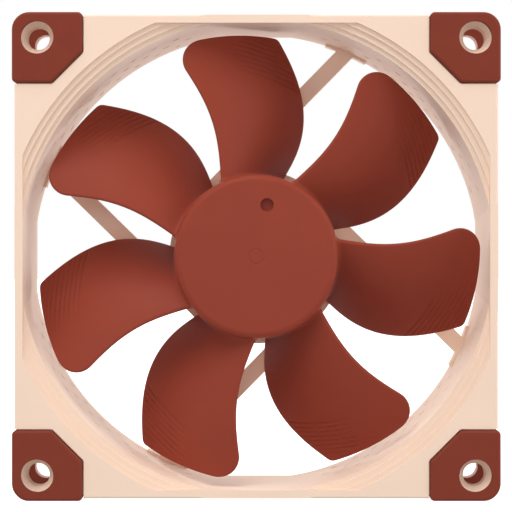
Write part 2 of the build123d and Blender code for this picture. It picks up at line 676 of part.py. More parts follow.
def assembly():
    """Every separate piece of the fan, by name."""
    insulator_back = STATOR_FRONT - INSULATOR_THICKNESS
    rear_lip = STATOR_BACK + INSULATOR_THICKNESS
    pieces = {
        "frame": frame(),
        "bearing_tube": bearing_tube(),
        "sleeve_bearing": sleeve_bearing(),
        "oil_seal": oil_seal(),
        "thrust_plate": plug(THRUST_PLATE_FRONT, THRUST_PLATE_THICKNESS),
        "thrust_magnet": plug(THRUST_MAGNET_FRONT, THRUST_MAGNET_THICKNESS),
        "bearing_end_cap": plug(CAP_FRONT, END_CAP_THICKNESS),
        "stator_core": stator_core(),
        "front_insulator": insulator(insulator_back, insulator_back - INSULATOR_LIP, False),
        "rear_insulator": insulator(STATOR_BACK, rear_lip, True),
        "coil_pins": pins(),
        "circuit_board": circuit_board(),
        "rear_label": rear_label(),
        "impeller": impeller(),
        "yoke_cup": yoke_cup(),
        "ring_magnet": ring_magnet(),
        "shaft": shaft(),
        "shaft_boss": shaft_boss(),
        "retaining_ring": retaining_ring(),
    }
    for number in range(POLES):
        pieces[f"coil_{number + 1}"] = coil(number)
    pieces.update(corner_pads())
    pieces.update(board_parts())
    return pieces


def save(name, shape):
    """Write one piece, or a group of like pieces, to its own file."""
    solids = []
    for piece in shape if isinstance(shape, list) else [shape]:
        solids.extend(piece.solids())
    export_step(Compound(children=solids), os.path.join("parts", name + ".step"))
    print(name, len(solids))


if __name__ == "__main__":
    os.makedirs("parts", exist_ok=True)
    for piece_name, piece_shape in assembly().items():
        save(piece_name, piece_shape)
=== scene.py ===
import json
import math

import bmesh
import bpy
from bpy.props import FloatProperty, FloatVectorProperty, IntProperty, PointerProperty
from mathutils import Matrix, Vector


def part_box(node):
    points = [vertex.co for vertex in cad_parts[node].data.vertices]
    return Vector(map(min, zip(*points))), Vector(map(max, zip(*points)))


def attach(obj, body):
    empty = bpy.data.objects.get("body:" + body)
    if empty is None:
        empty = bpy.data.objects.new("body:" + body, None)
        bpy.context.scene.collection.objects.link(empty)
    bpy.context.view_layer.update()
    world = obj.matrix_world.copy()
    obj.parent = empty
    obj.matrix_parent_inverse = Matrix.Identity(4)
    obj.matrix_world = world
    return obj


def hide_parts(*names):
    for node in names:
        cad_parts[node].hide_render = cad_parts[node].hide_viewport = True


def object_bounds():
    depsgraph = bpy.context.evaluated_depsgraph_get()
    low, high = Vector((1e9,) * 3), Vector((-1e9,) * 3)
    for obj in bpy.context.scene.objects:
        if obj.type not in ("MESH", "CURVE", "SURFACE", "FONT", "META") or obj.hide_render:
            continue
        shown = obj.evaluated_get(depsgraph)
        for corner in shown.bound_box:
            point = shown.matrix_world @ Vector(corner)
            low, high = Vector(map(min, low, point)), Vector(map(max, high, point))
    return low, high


bl_info = {
    "name": "Case fan looks",
    "version": (1, 0, 0),
    "blender": (4, 5, 0),
    "location": "3D View > Sidebar > Case fan",
    "description": "Fine moulded shapes, windings and finishes of a case fan, built on its CAD frame",
    "category": "Object",
}

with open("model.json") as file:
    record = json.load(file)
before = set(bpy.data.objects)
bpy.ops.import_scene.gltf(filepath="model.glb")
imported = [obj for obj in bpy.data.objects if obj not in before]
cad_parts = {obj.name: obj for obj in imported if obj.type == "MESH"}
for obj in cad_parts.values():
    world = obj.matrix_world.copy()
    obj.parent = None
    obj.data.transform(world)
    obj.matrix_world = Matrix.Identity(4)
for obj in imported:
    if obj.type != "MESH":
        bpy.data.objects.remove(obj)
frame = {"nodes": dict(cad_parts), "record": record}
CAD_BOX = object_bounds()

MM = 0.001
FULL_TURN = 2 * math.pi
WAVE_REPEAT = FULL_TURN / 20     # distance between the bands of a wave texture at scale 1


# ------------------------------------------------------------------ measures taken from the frame

def reach(node):
    """Largest distance of a CAD node from the spin axis, which is the Y axis."""
    return max(math.hypot(v.co.x, v.co.z) for v in frame["nodes"][node].data.vertices)


HUB_WALL = 1.32 * MM         # wall of the hub with its fit around the steel yoke
HUB_RADIUS = reach("yoke_cup") + HUB_WALL
TIP_RADIUS = reach("impeller")
HUB_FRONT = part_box("impeller")[0].y
HUB_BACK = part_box("impeller")[1].y
HUB_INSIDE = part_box("yoke_cup")[0].y
FRAME_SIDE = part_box("frame")[1].x
FRAME_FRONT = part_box("frame")[0].y
FRAME_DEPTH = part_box("frame")[1].y - FRAME_FRONT
FLOOR_LEVEL = CAD_BOX[0].z
FAN_FRONT = CAD_BOX[0].y


def linear(code):
    """An sRGB hex colour as linear red, green and blue."""
    channels = [int(code[i:i + 2], 16) / 255 for i in (1, 3, 5)]
    return tuple(c / 12.92 if c <= 0.04045 else ((c + 0.055) / 1.055) ** 2.4 for c in channels)


def degrees(*values):
    """Several angles in degrees, as radians."""
    return tuple(math.radians(value) for value in values)


# ------------------------------------------------------------------ settings that a user would change

def length(name, description, millimetres):
    """A size setting, given in millimetres and kept in metres."""
    return FloatProperty(name=name, description=description, default=millimetres * MM,
                         unit="LENGTH", subtype="DISTANCE", precision=5)


def angle(name, description, value):
    """An angle setting, given in degrees."""
    return FloatProperty(name=name, description=description, default=math.radians(value),
                         unit="ROTATION", subtype="ANGLE")


def colour(name, description, code):
    """A colour setting, given as sRGB hex."""
    return FloatVectorProperty(name=name, description=description, default=linear(code),
                               subtype="COLOR", size=3, min=0.0, max=1.0)


def share(name, description, value):
    """A plain number setting."""
    return FloatProperty(name=name, description=description, default=value)


class ImpellerSizes(bpy.types.PropertyGroup):
    """Shape of the hub and its blades."""
    blades: IntProperty(name="Blades", description="Number of blades", default=7, min=2, max=15)
    first_blade: angle("First blade", "Angle of the first blade's root line", 91.25)
    leading_sweep: FloatVectorProperty(
        name="Leading sweep", description="Leading edge from the root line, at four even radii",
        default=degrees(24.0, 17.1, 18.1, 20.8), size=4, unit="ROTATION")
    trailing_sweep: FloatVectorProperty(
        name="Trailing sweep", description="Trailing edge from the root line, at the same radii",
        default=degrees(-19.6, -22.1, -15.9, -6.8), size=4, unit="ROTATION")
    root_front: length("Root front", "Leading edge behind the hub's face, at the hub", 2.1)
    tip_front: length("Tip front", "Leading edge behind the hub's face, at the tip", 3.0)
    root_back: length("Root back", "Trailing edge in front of the hub's back, at the hub", 1.3)
    tip_back: length("Tip back", "Trailing edge in front of the hub's back, at the tip", 2.0)
    camber: share("Camber", "How much steeper the blade grows towards its trailing edge", 0.4)
    root_thickness: length("Root thickness", "Blade at its thickest, at the hub", 1.9)
    tip_thickness: length("Tip thickness", "Blade at its thickest, at the tip", 1.2)
    edge_share: share("Edge share", "Thickness of the blade's edges as a share of that", 0.45)
    leading_corner: length("Leading corner", "Corner radius of the tip, at the leading edge", 4.0)
    trailing_corner: length("Trailing corner", "Corner radius of the tip, at the trailing edge", 1.5)
    tip_round: length("Tip round", "Rounding of the tip's edges", 0.25)
    root_fillet: length("Root fillet", "Fillet between a blade and the hub", 0.8)
    groove_pitch: length("Groove pitch", "From one flow groove to the next", 1.1)
    groove_depth: length("Groove depth", "Depth of the flow grooves near the trailing corner", 0.24)
    groove_start: length("Groove start", "Innermost groove's distance from the axis", 32.0)
    groove_length: length("Groove length", "How far the grooves run from the trailing edge", 13.0)
    groove_slant: share("Groove slant", "How much a groove drifts outwards along its length", 0.32)
    hub_round: length("Hub round", "Rounding of the hub's front edge", 1.3)
    dot_diameter: length("Dot diameter", "Round pocket in the hub's face", 2.5)
    dot_radius: length("Dot place", "The pocket's distance from the axis", 9.95)
    dot_angle: angle("Dot angle", "The pocket's direction", 78.3)
    dot_depth: length("Dot depth", "Depth of the pocket", 1.0)
    gate_diameter: length("Gate ring", "Outer diameter of the ring left by the mould's gate", 3.1)
    gate_width: length("Gate ring width", "Width of that ring's groove", 0.35)
    gate_depth: length("Gate ring depth", "Depth of that ring's groove", 0.05)


class DuctMarkSizes(bpy.types.PropertyGroup):
    """Small wedges moulded on the duct's wall, which quieten the air next to it."""
    per_ring: IntProperty(name="Per ring", description="Places around one ring", default=62)
    first_ring: length("First ring", "First ring behind the middle of the fan", -1.5)
    ring_step: length("Ring step", "From one ring to the next", 4.7)
    rings: IntProperty(name="Rings", description="Rings of wedges, one behind the other", default=3)
    mark_length: length("Length", "Length of a wedge around the duct", 1.5)
    mark_width: length("Width", "Width of a wedge along the fan's axis", 1.1)
    mark_height: length("Height", "How far a wedge stands out of the wall", 0.12)
    sunk: length("Sunk", "How far a wedge's foot lies in the wall", 0.1)
    wall: length("Wall", "Wall of the duct at the middle of each side", 1.5)
    swell: length("Swell", "How far the duct reaches past the flat inner sides", 1.0)
    taper: length("Taper", "How much the duct's radius shrinks from inlet to outlet", 0.9)
    flat_span: angle("Flat span", "Part of each side where the duct's wall is flat", 34.0)


class WindingSizes(bpy.types.PropertyGroup):
    """Enamelled wire wound on the stator's poles."""
    wire: length("Wire", "Diameter of the wire", 0.36)
    build: length("Build", "Thickness of the winding", 1.6)
    sides: IntProperty(name="Sides", description="Sides of the wire's section", default=6)
    poles: IntProperty(name="Poles", description="Wound poles", default=4)


class Finishes(bpy.types.PropertyGroup):
    """Colours of the materials, by the record's slots."""
    frame: colour("Frame", "Cream moulded plastic", "#EED4C1")
    pad_rubber: colour("Pads", "Reddish brown silicone rubber", "#7C3526")
    impeller: colour("Impeller", "Reddish brown moulded plastic", "#8D3C2C")
    yoke_steel: colour("Yoke", "Zinc-plated steel", "#A3A5A8")
    shaft_steel: colour("Shaft", "Ground steel", "#C4C6C9")
    ferrite: colour("Magnet", "Sintered ferrite", "#3A3A3C")
    brass: colour("Brass", "Turned brass", "#CFAE6A")
    bronze: colour("Bearing", "Porous bronze", "#A9824A")
    lamination: colour("Stator steel", "Punched electrical steel", "#7C7F83")
    insulator: colour("Insulator", "Moulded nylon", "#E8E4DA")
    copper: colour("Wire", "Enamelled copper", "#B5643A")
    board: colour("Board", "Green solder mask", "#27442F")
    chip: colour("Chips", "Black epoxy", "#1D1D1F")
    capacitor: colour("Capacitors", "Tan ceramic", "#9A7D5C")
    polymer: colour("Polymer", "Dark bearing polymer", "#3B3B3D")
    foil: colour("Label", "Metallised paper", "#C9C9C6")


class StageSettings(bpy.types.PropertyGroup):
    """Camera, floor and lights."""
    camera_distance: length("Camera distance", "Camera in front of the pads", 412.0)
    camera_aside: length("Camera aside", "Camera to the right of the fan's axis", -0.06)
    camera_height: length("Camera height", "Camera above the fan's axis", 0.1)
    lens: share("Lens", "Focal length in millimetres, on a 36 mm sensor", 154.2)
    back_sky: share("Back sky", "Strength of the white light from behind the fan", 1.75)
    side_sky: share("Side sky", "Strength of the white light from the sides", 0.87)
    front_sky: share("Front sky", "Strength of the white light from the front", 0.4)
    floor_glow: share("Floor glow", "Evenness of the floor's white, which keeps shadows faint", 0.82)
    key_power: share("Key power", "Watts of the large soft light above on the left", 2.9)
    left_power: share("Left power", "Watts of the soft light in front on the left", 0.6)
    right_power: share("Right power", "Watts of the soft light on the right", 1.75)
    front_power: share("Front power", "Watts of the soft light behind the camera", 1.15)


SETTINGS = {
    "fan_impeller": ImpellerSizes,
    "fan_duct_marks": DuctMarkSizes,
    "fan_windings": WindingSizes,
    "fan_finishes": Finishes,
    "fan_stage": StageSettings,
}


# ------------------------------------------------------------------ node and mesh helpers

def add_node(tree, kind, settings=None, inputs=None):
    """Add a node, set its properties, and fill or link its inputs, by name or by place."""
    made = tree.nodes.new(kind)
    for name, value in (settings or {}).items():
        setattr(made, name, value)
    for name, value in (inputs or {}).items():
        if isinstance(value, bpy.types.NodeSocket):
            tree.links.new(value, made.inputs[name])
        else:
            made.inputs[name].default_value = value
    return made


def reckon(tree, operation, *values):
    """Result of a sum on numbers or fields, such as MULTIPLY."""
    return add_node(tree, "ShaderNodeMath", {"operation": operation}, dict(enumerate(values))).outputs[0]


def new_tree(name, inputs):
    """An empty geometry tree with a geometry input and the named inputs after it."""
    tree = bpy.data.node_groups.new(name, "GeometryNodeTree")
    tree.interface.new_socket("Geometry", in_out="INPUT", socket_type="NodeSocketGeometry")
    for label, kind in inputs.items():
        tree.interface.new_socket(label, in_out="INPUT", socket_type="NodeSocket" + kind)
    tree.interface.new_socket("Geometry", in_out="OUTPUT", socket_type="NodeSocketGeometry")
    return tree, tree.nodes.new("NodeGroupInput").outputs


def close_tree(tree, geometry, material):
    """End of every tree: realise the copies and give them their material."""
    real = add_node(tree, "GeometryNodeRealizeInstances", {}, {"Geometry": geometry})
    dressed = add_node(tree, "GeometryNodeSetMaterial", {},
                       {"Geometry": real.outputs[0], "Material": material})
    add_node(tree, "NodeGroupOutput", {}, {"Geometry": dressed.outputs[0]})


def grow(name, blank, tree, values):
    """Run a geometry tree on a blank mesh and keep the result as a plain mesh object."""
    source = bpy.data.objects.new(name + "_blank", blank)
    bpy.context.scene.collection.objects.link(source)
    modifier = source.modifiers.new(tree.name, "NODES")
    modifier.node_group = tree
    for item in tree.interface.items_tree:
        if item.in_out == "INPUT" and item.name in values:
            modifier[item.identifier] = values[item.name]
    view_layer = bpy.context.evaluated_depsgraph_get()
    mesh = bpy.data.meshes.new_from_object(source.evaluated_get(view_layer))
    bpy.data.objects.remove(source)
    piece = bpy.data.objects.new(name, mesh)
    mesh.name = name
    bpy.context.scene.collection.objects.link(piece)
    if not mesh.polygons:
        raise RuntimeError(f"{name} came out empty")
    return piece


def smooth(mesh, limit=math.radians(35)):
    """Smooth shading, with edges sharper than the limit kept crisp."""
    work = bmesh.new()
    work.from_mesh(mesh)
    for face in work.faces:
        face.smooth = True
    for edge in work.edges:
        edge.smooth = len(edge.link_faces) == 2 and edge.calc_face_angle(0.0) < limit
    work.to_mesh(mesh)
    work.free()


def mesh_of(name, points, faces):
    """A mesh from points and faces, with its faces turned outwards."""
    mesh = bpy.data.meshes.new(name)
    mesh.from_pydata([tuple(point) for point in points], [], faces)
    work = bmesh.new()
    work.from_mesh(mesh)
    bmesh.ops.recalc_face_normals(work, faces=work.faces)
    work.to_mesh(mesh)
    work.free()
    return mesh


def around(radius, turn, depth):
    """A point at a distance and an angle from the spin axis, anticlockwise from the front."""
    return Vector((radius * math.cos(turn), depth, radius * math.sin(turn)))


def step_between(value, low, high):
    """0 below low, 1 above high, and a smooth rise between."""
    t = min(max((value - low) / (high - low), 0.0), 1.0)
    return t * t * (3 - 2 * t)


# ------------------------------------------------------------------ one blade

FULLEST_FRONT = 1.2          # the blade is fuller than even at its leading edge
FULLEST_FALL = 0.4           # and loses this much of that towards its trailing edge


def eased(values, span):
    """Smooth curve through values given at even steps from 0 to 1."""
    last = len(values) - 1
    total = 0.0
    for i, value in enumerate(values):
        weight = value
        for j in range(len(values)):
            if j != i:
                weight *= (span * last - j) / (i - j)
        total += weight
    return total


def span_of(radius):
    """0 at the hub and 1 at the tip."""
    return (radius - HUB_RADIUS) / (TIP_RADIUS - HUB_RADIUS)


def blade_middle(sizes, radius, chord):
    """Angle and depth of the blade's middle surface; chord runs from leading to trailing edge."""
    span = span_of(radius)
    leading = eased(sizes.leading_sweep, span)
    trailing = eased(sizes.trailing_sweep, span)
    front = HUB_FRONT + sizes.root_front + (sizes.tip_front - sizes.root_front) * span
    back = HUB_BACK - sizes.root_back + (sizes.root_back - sizes.tip_back) * span
    fall = (1 - sizes.camber) * chord + sizes.camber * chord ** 2
    return leading + (trailing - leading) * chord, front + (back - front) * fall


def corner_circle(sizes, chord_end, corner):
    """Direction from the axis of a rounded tip corner's centre, and the distance from the axis at
    which the rounding begins. The circle is moved away from the edge until it just touches it."""
    distance = TIP_RADIUS - corner
    side = -1 if chord_end == 0 else 1
    edge_points = 400
    halvings = 30
    radii = [TIP_RADIUS - 2 * corner * step / edge_points for step in range(edge_points)]
    edge = [around(radius, blade_middle(sizes, radius, chord_end)[0], 0) for radius in radii]
    low = blade_middle(sizes, TIP_RADIUS, chord_end)[0]
    high = low + side * 3 * corner / distance
    for _ in range(halvings):
        centre_turn = (low + high) / 2
        centre = around(distance, centre_turn, 0)
        gaps = [(centre - point).length for point in edge]
        if min(gaps) < corner:
            low = centre_turn
        else:
            high = centre_turn
    return centre_turn, radii[gaps.index(min(gaps))]


def corner_limit(radius, centre_turn, corner, side):
    """Angle at which a circle around the axis leaves the tip's rounded corner."""
    distance = TIP_RADIUS - corner
    cosine = (radius ** 2 + distance ** 2 - corner ** 2) / (2 * radius * distance)
    return centre_turn + side * math.acos(min(max(cosine, -1.0), 1.0))


def blade_radii(sizes):
    """Distances of the blade's sections from the axis, closer together where the shape is finer."""
    inside = [HUB_RADIUS - HUB_WALL / 2, HUB_RADIUS]
    fillet_rows = 5
    fillet = [HUB_RADIUS + sizes.root_fillet * (1 - math.cos(math.pi / 2 * i / fillet_rows))
              for i in range(1, fillet_rows + 1)]
    start = fillet[-1]
    fine = sizes.groove_start - 2 * sizes.groove_pitch
    coarse_rows = 20
    coarse = [start + (fine - start) * i / coarse_rows for i in range(1, coarse_rows)]
    tip_zone = 4 * sizes.tip_round
    last = TIP_RADIUS - tip_zone
    rows_per_groove = 6
    fine_rows = round((last - fine) / (sizes.groove_pitch / rows_per_groove))
    fine = [fine + (last - fine) * i / fine_rows for i in range(fine_rows + 1)]
    tip_rows = 9
    tip = [TIP_RADIUS - tip_zone * (1 - i / tip_rows) ** 2 for i in range(1, tip_rows + 1)]
    return inside + fillet + coarse + fine + tip


def groove(sizes, radius, from_trailing):
    """Depth of the fine flow grooves at a distance from the axis and from the trailing edge."""
    pitch = sizes.groove_pitch
    sharpness = 3
    line = radius - sizes.groove_slant * from_trailing
    wave = (0.5 - 0.5 * math.cos(FULL_TURN * (line - sizes.groove_start) / pitch)) ** sharpness
    near_edge = step_between(from_trailing, 0.3 * pitch, pitch)
    runs_out = 1 - step_between(from_trailing, 0.4 * sizes.groove_length, sizes.groove_length)
    begins = step_between(line, sizes.groove_start, sizes.groove_start + pitch / 2)
    ends = 1 - step_between(radius, TIP_RADIUS - 1.5 * pitch, TIP_RADIUS - 0.5 * pitch)
    return sizes.groove_depth * wave * near_edge * runs_out * begins * ends


def blade_section(sizes, radius, corners):
    """Closed ring of points of one section, front side first and then the back side."""
    leading = blade_middle(sizes, radius, 0)[0]
    trailing = blade_middle(sizes, radius, 1)[0]
    width = leading - trailing
    (lead_turn, lead_start), (trail_turn, trail_start) = corners
    lead_limit, trail_limit = leading, trailing
    if radius > lead_start:
        lead_limit = corner_limit(radius, lead_turn, sizes.leading_corner, 1)
    if radius > trail_start:
        trail_limit = corner_limit(radius, trail_turn, sizes.trailing_corner, -1)
    toe = max(HUB_RADIUS + sizes.root_fillet - radius, 0.0)
    toe = min(toe, sizes.root_fillet)
    flare = sizes.root_fillet - math.sqrt(sizes.root_fillet ** 2 - toe ** 2)
    start = (leading - lead_limit) / width - flare / (radius * width)
    end = 1 - (trail_limit - trailing) / width + flare / (radius * width)
    thick = sizes.root_thickness + (sizes.tip_thickness - sizes.root_thickness) * span_of(radius)
    if radius > TIP_RADIUS - sizes.tip_round:
        over = (radius - (TIP_RADIUS - sizes.tip_round)) / sizes.tip_round
        thick -= 2 * sizes.tip_round * (1 - math.sqrt(max(1 - over ** 2, 0.0)))
    edge_half = thick * sizes.edge_share / 2 + flare
    chord_length = (end - start) * radius * width
    nose = [edge_half * part for part in (0.0, 0.06, 0.22, 0.5, 0.85, 1.2)]
    rows = 38
    step = 0.001
    inner = [nose[-1] + (chord_length - 2 * nose[-1]) * i / rows for i in range(1, rows)]
    stations = nose + inner + [chord_length - x for x in nose[::-1]]
    front_side, back_side = [], []
    for place in stations:
        chord = start + (end - start) * place / chord_length
        turn, depth = blade_middle(sizes, radius, chord)
        before = blade_middle(sizes, radius, chord - step)
        after = blade_middle(sizes, radius, chord + step)
        along = Vector(((after[0] - before[0]) * radius, after[1] - before[1])).normalized()
        across = Vector((-along.y, along.x))
        inside = min(max(chord, 0.0), 1.0)
        bulge = 4 * inside * (1 - inside) * (FULLEST_FRONT - FULLEST_FALL * inside)
        half = thick / 2 * (sizes.edge_share + (1 - sizes.edge_share) * bulge) + flare
        from_edge = min(place, chord_length - place)
        if from_edge < edge_half:
            half *= math.sqrt(max(1 - (1 - from_edge / edge_half) ** 2, 0.0))
        cut = groove(sizes, radius, chord_length - place)
        for side, offset in ((front_side, half - cut), (back_side, -half)):
            side.append(around(radius, turn + across.x * offset / radius, depth + across.y * offset))
    return front_side + back_side[-2:0:-1]


def blade_shell(sizes):
    """Points and faces of one closed blade that points along X."""
    corners = (corner_circle(sizes, 0, sizes.leading_corner),
               corner_circle(sizes, 1, sizes.trailing_corner))
    rings = [blade_section(sizes, radius, corners) for radius in blade_radii(sizes)]
    size = len(rings[0])
    faces = []
    for row in range(len(rings) - 1):
        for i in range(size):
            j = (i + 1) % size
            faces.append((row * size + i, row * size + j, (row + 1) * size + j, (row + 1) * size + i))
    for base in (0, (len(rings) - 1) * size):
        faces.append((base, base + 1, base + size - 1))
        for i in range(1, size // 2 - 1):
            faces.append((base + i, base + i + 1, base + size - i - 1, base + size - i))
        faces.append((base + size // 2 - 1, base + size // 2, base + size // 2 + 1))
    return [point for ring in rings for point in ring], faces


# ------------------------------------------------------------------ hub

def hub_profile(sizes):
    """Outline of the hub cup as (distance from the axis, depth), from the face to the inside."""
    gate = sizes.gate_diameter / 2
    floor = HUB_FRONT + sizes.gate_depth
    small = 0.15 * MM
    outline = [(gate - sizes.gate_width, HUB_FRONT), (gate - 0.8 * sizes.gate_width, floor),
               (gate - 0.2 * sizes.gate_width, floor), (gate, HUB_FRONT)]
    steps = 10
    for step in range(steps + 1):
        turn = math.pi / 2 * step / steps
        outline.append((HUB_RADIUS - sizes.hub_round * (1 - math.sin(turn)),
                        HUB_FRONT + sizes.hub_round * (1 - math.cos(turn))))
    inner = HUB_RADIUS - HUB_WALL
    outline += [(HUB_RADIUS, HUB_BACK - small), (HUB_RADIUS - small, HUB_BACK),
                (inner + small, HUB_BACK), (inner, HUB_BACK - small), (inner, HUB_INSIDE)]
    return outline


def hub_shell(sizes):
    """Points and faces of the hub, turned about the spin axis and closed at both poles."""
    outline = hub_profile(sizes)
    segments = 144
    points, faces = [], []
    for radius, depth in outline:
        points += [around(radius, FULL_TURN * i / segments, depth) for i in range(segments)]
    for row in range(len(outline) - 1):
        for i in range(segments):
            j = (i + 1) % segments
            faces.append((row * segments + i, row * segments + j,
                          (row + 1) * segments + j, (row + 1) * segments + i))
    faces.append(tuple(range(segments)))
    faces.append(tuple(range((len(outline) - 1) * segments, len(outline) * segments)))
    return points, faces


def pocketed_hub(sizes):
    """The hub with the round pocket cut into its face."""
    hub = bpy.data.objects.new("hub_blank", mesh_of("hub_blank", *hub_shell(sizes)))
    sides = 40
    ends = (HUB_FRONT - sizes.dot_depth, HUB_FRONT + sizes.dot_depth)
    centre = around(sizes.dot_radius, sizes.dot_angle, 0)
    points = [centre + around(sizes.dot_diameter / 2, FULL_TURN * i / sides, depth)
              for depth in ends for i in range(sides)]
    faces = [(i, (i + 1) % sides, sides + (i + 1) % sides, sides + i) for i in range(sides)]
    faces += [tuple(range(sides)), tuple(range(sides, 2 * sides))]
    cutter = bpy.data.objects.new("dot_cutter", mesh_of("dot_cutter", points, faces))
    for blank in (hub, cutter):
        bpy.context.scene.collection.objects.link(blank)
    cut = hub.modifiers.new("Pocket", "BOOLEAN")
    cut.operation = "DIFFERENCE"
    cut.solver = "EXACT"
    cut.object = cutter
    mesh = bpy.data.meshes.new_from_object(hub.evaluated_get(bpy.context.evaluated_depsgraph_get()))
    bpy.data.objects.remove(hub)
    bpy.data.objects.remove(cutter)
    return mesh


def impeller_blank(sizes):
    """One mesh with the hub and a single blade, whose faces are marked as the blade."""
    mesh = bpy.data.meshes.new("impeller_blank")
    work = bmesh.new()
    work.from_mesh(pocketed_hub(sizes))
    hub_faces = len(work.faces)
    blade = mesh_of("blade", *blade_shell(sizes))
    work.from_mesh(blade)
    work.to_mesh(mesh)
    work.free()
    marks = mesh.attributes.new("blade", "BOOLEAN", "FACE")
    marks.data.foreach_set("value", [i >= hub_faces for i in range(len(mesh.polygons))])
    smooth(mesh)
    return mesh


def blade_ring_tree():
    """Copies the marked blade evenly around the hub."""
    tree, given = new_tree("Blade ring", {"Blades": "Int", "First blade": "Float", "Material": "Material"})
    marked = add_node(tree, "GeometryNodeInputNamedAttribute", {"data_type": "BOOLEAN"}, {"Name": "blade"})
    parts = add_node(tree, "GeometryNodeSeparateGeometry", {"domain": "FACE"},
                     {"Geometry": given["Geometry"], "Selection": marked.outputs["Attribute"]})
    places = add_node(tree, "GeometryNodePoints", {}, {"Count": given["Blades"]})
    number = add_node(tree, "GeometryNodeInputIndex").outputs[0]
    step = reckon(tree, "DIVIDE", FULL_TURN, given["Blades"])
    turn = reckon(tree, "MULTIPLY_ADD", number, step, given["First blade"])
    turned = add_node(tree, "ShaderNodeCombineXYZ", {}, {"Y": reckon(tree, "MULTIPLY", turn, -1.0)})
    ring = add_node(tree, "GeometryNodeInstanceOnPoints", {},
                    {"Points": places.outputs[0], "Instance": parts.outputs["Selection"],
                     "Rotation": turned.outputs[0]})
    whole = add_node(tree, "GeometryNodeJoinGeometry")
    tree.links.new(parts.outputs["Inverted"], whole.inputs[0])
    tree.links.new(ring.outputs[0], whole.inputs[0])
    close_tree(tree, whole.outputs[0], given["Material"])
    return tree


# ------------------------------------------------------------------ duct marks

def wedge_blank(sizes):
    """One wedge with its foot at the origin: X around the duct, Y along its axis, Z out of the wall."""
    foot, top = -sizes.sunk, sizes.mark_height
    half, width = sizes.mark_length / 2, sizes.mark_width
    points = []
    for level, trim in ((foot, 1.0), (0.4 * top, 0.9), (top, 0.45)):
        points += [(-half * trim, -width / 2 * trim, level), (half * trim, 0, level),
                   (-half * trim, width / 2 * trim, level)]
    faces = [(0, 1, 2), (6, 7, 8)]
    for row in range(2):
        for i in range(3):
            j = (i + 1) % 3
            faces.append((3 * row + i, 3 * row + j, 3 * row + 3 + j, 3 * row + 3 + i))
    mesh = mesh_of("wedge", points, faces)
    smooth(mesh, math.radians(20))
    return mesh


def duct_mark_tree():
    """Staggered rings of wedges on the round parts of the duct's wall."""
    tree, given = new_tree("Duct marks", {
        "Per ring": "Int", "Rings": "Int", "First ring": "Float", "Ring step": "Float",
        "Duct radius": "Float", "Duct front": "Float", "Lean": "Float", "Flat span": "Float",
        "Material": "Material",
    })
    count = reckon(tree, "MULTIPLY", given["Per ring"], given["Rings"])
    number = add_node(tree, "GeometryNodeInputIndex").outputs[0]
    ring = reckon(tree, "FLOOR", reckon(tree, "DIVIDE", number, given["Per ring"]))
    step = reckon(tree, "DIVIDE", FULL_TURN, given["Per ring"])
    place = reckon(tree, "MULTIPLY_ADD", ring, 0.5, number)
    turn = reckon(tree, "MULTIPLY", place, step)
    depth = reckon(tree, "MULTIPLY_ADD", ring, given["Ring step"], given["First ring"])
    behind = reckon(tree, "SUBTRACT", depth, given["Duct front"])
    shrink = reckon(tree, "MULTIPLY", behind, given["Lean"])
    radius = reckon(tree, "SUBTRACT", given["Duct radius"], shrink)
    spot = add_node(tree, "ShaderNodeCombineXYZ", {}, {
        "X": reckon(tree, "MULTIPLY", radius, reckon(tree, "COSINE", turn)),
        "Y": depth,
        "Z": reckon(tree, "MULTIPLY", radius, reckon(tree, "SINE", turn)),
    })
    points = add_node(tree, "GeometryNodePoints", {}, {"Count": count, "Position": spot.outputs[0]})
    quarter = FULL_TURN / 4
    half_flat = reckon(tree, "MULTIPLY", given["Flat span"], 0.5)
    shifted = reckon(tree, "ADD", turn, quarter / 2)
    in_quarter = reckon(tree, "MODULO", shifted, quarter)
    from_side = reckon(tree, "ABSOLUTE", reckon(tree, "SUBTRACT", in_quarter, quarter / 2))
    on_flat = reckon(tree, "LESS_THAN", from_side, half_flat)
    kept = add_node(tree, "GeometryNodeDeleteGeometry", {"domain": "POINT"},
                    {"Geometry": points.outputs[0], "Selection": on_flat})
    spot_again = add_node(tree, "GeometryNodeInputPosition").outputs[0]
    flat = add_node(tree, "ShaderNodeVectorMath", {"operation": "MULTIPLY"},
                    {0: spot_again, 1: (-1.0, 0.0, -1.0)})
    inward = add_node(tree, "FunctionNodeAxesToRotation", {"primary_axis": "Z", "secondary_axis": "Y"},
                      {"Primary Axis": flat.outputs[0], "Secondary Axis": (0.0, 1.0, 0.0)})
    marks = add_node(tree, "GeometryNodeInstanceOnPoints", {},
                     {"Points": kept.outputs[0], "Instance": given["Geometry"],
                      "Rotation": inward.outputs[0]})
    close_tree(tree, marks.outputs[0], given["Material"])
    return tree


# ------------------------------------------------------------------ windings

def winding_path(sizes):
    """Centre line of the wire on the pole that points along X: layer on layer of flat turns."""
    low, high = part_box("coil_1")
    radius = sizes.wire / 2
    half_width = high.z - sizes.build
    front, back = low.y + sizes.build, high.y - sizes.build
    turns = int((high.x - low.x) / sizes.wire)
    layers = int(sizes.build / sizes.wire)
    pitch = (high.x - low.x - sizes.wire) / turns
    corner_points = 3
    path = []
    for layer in range(layers):
        out = radius + layer * sizes.build / layers
        for turn in range(turns):
            loop = []
            for corner in range(4):
                side_z = half_width if corner in (0, 1) else -half_width
                side_y = back if corner in (0, 3) else front
                for i in range(corner_points):
                    bend = math.pi / 2 * (corner + i / (corner_points - 1))
                    loop.append((side_y + out * math.cos(bend), side_z + out * math.sin(bend)))
            for i, (y, z) in enumerate(loop):
                along = turn + i / len(loop)
                across = along if layer % 2 == 0 else turns - along
                path.append(Vector((low.x + radius + pitch * across, y, z)))
    return path


def winding_blank(sizes):
    """The wire's centre line as a chain of edges."""
    mesh = bpy.data.meshes.new("winding_path")
    path = winding_path(sizes)
    mesh.from_pydata(path, [(i, i + 1) for i in range(len(path) - 1)], [])
    return mesh


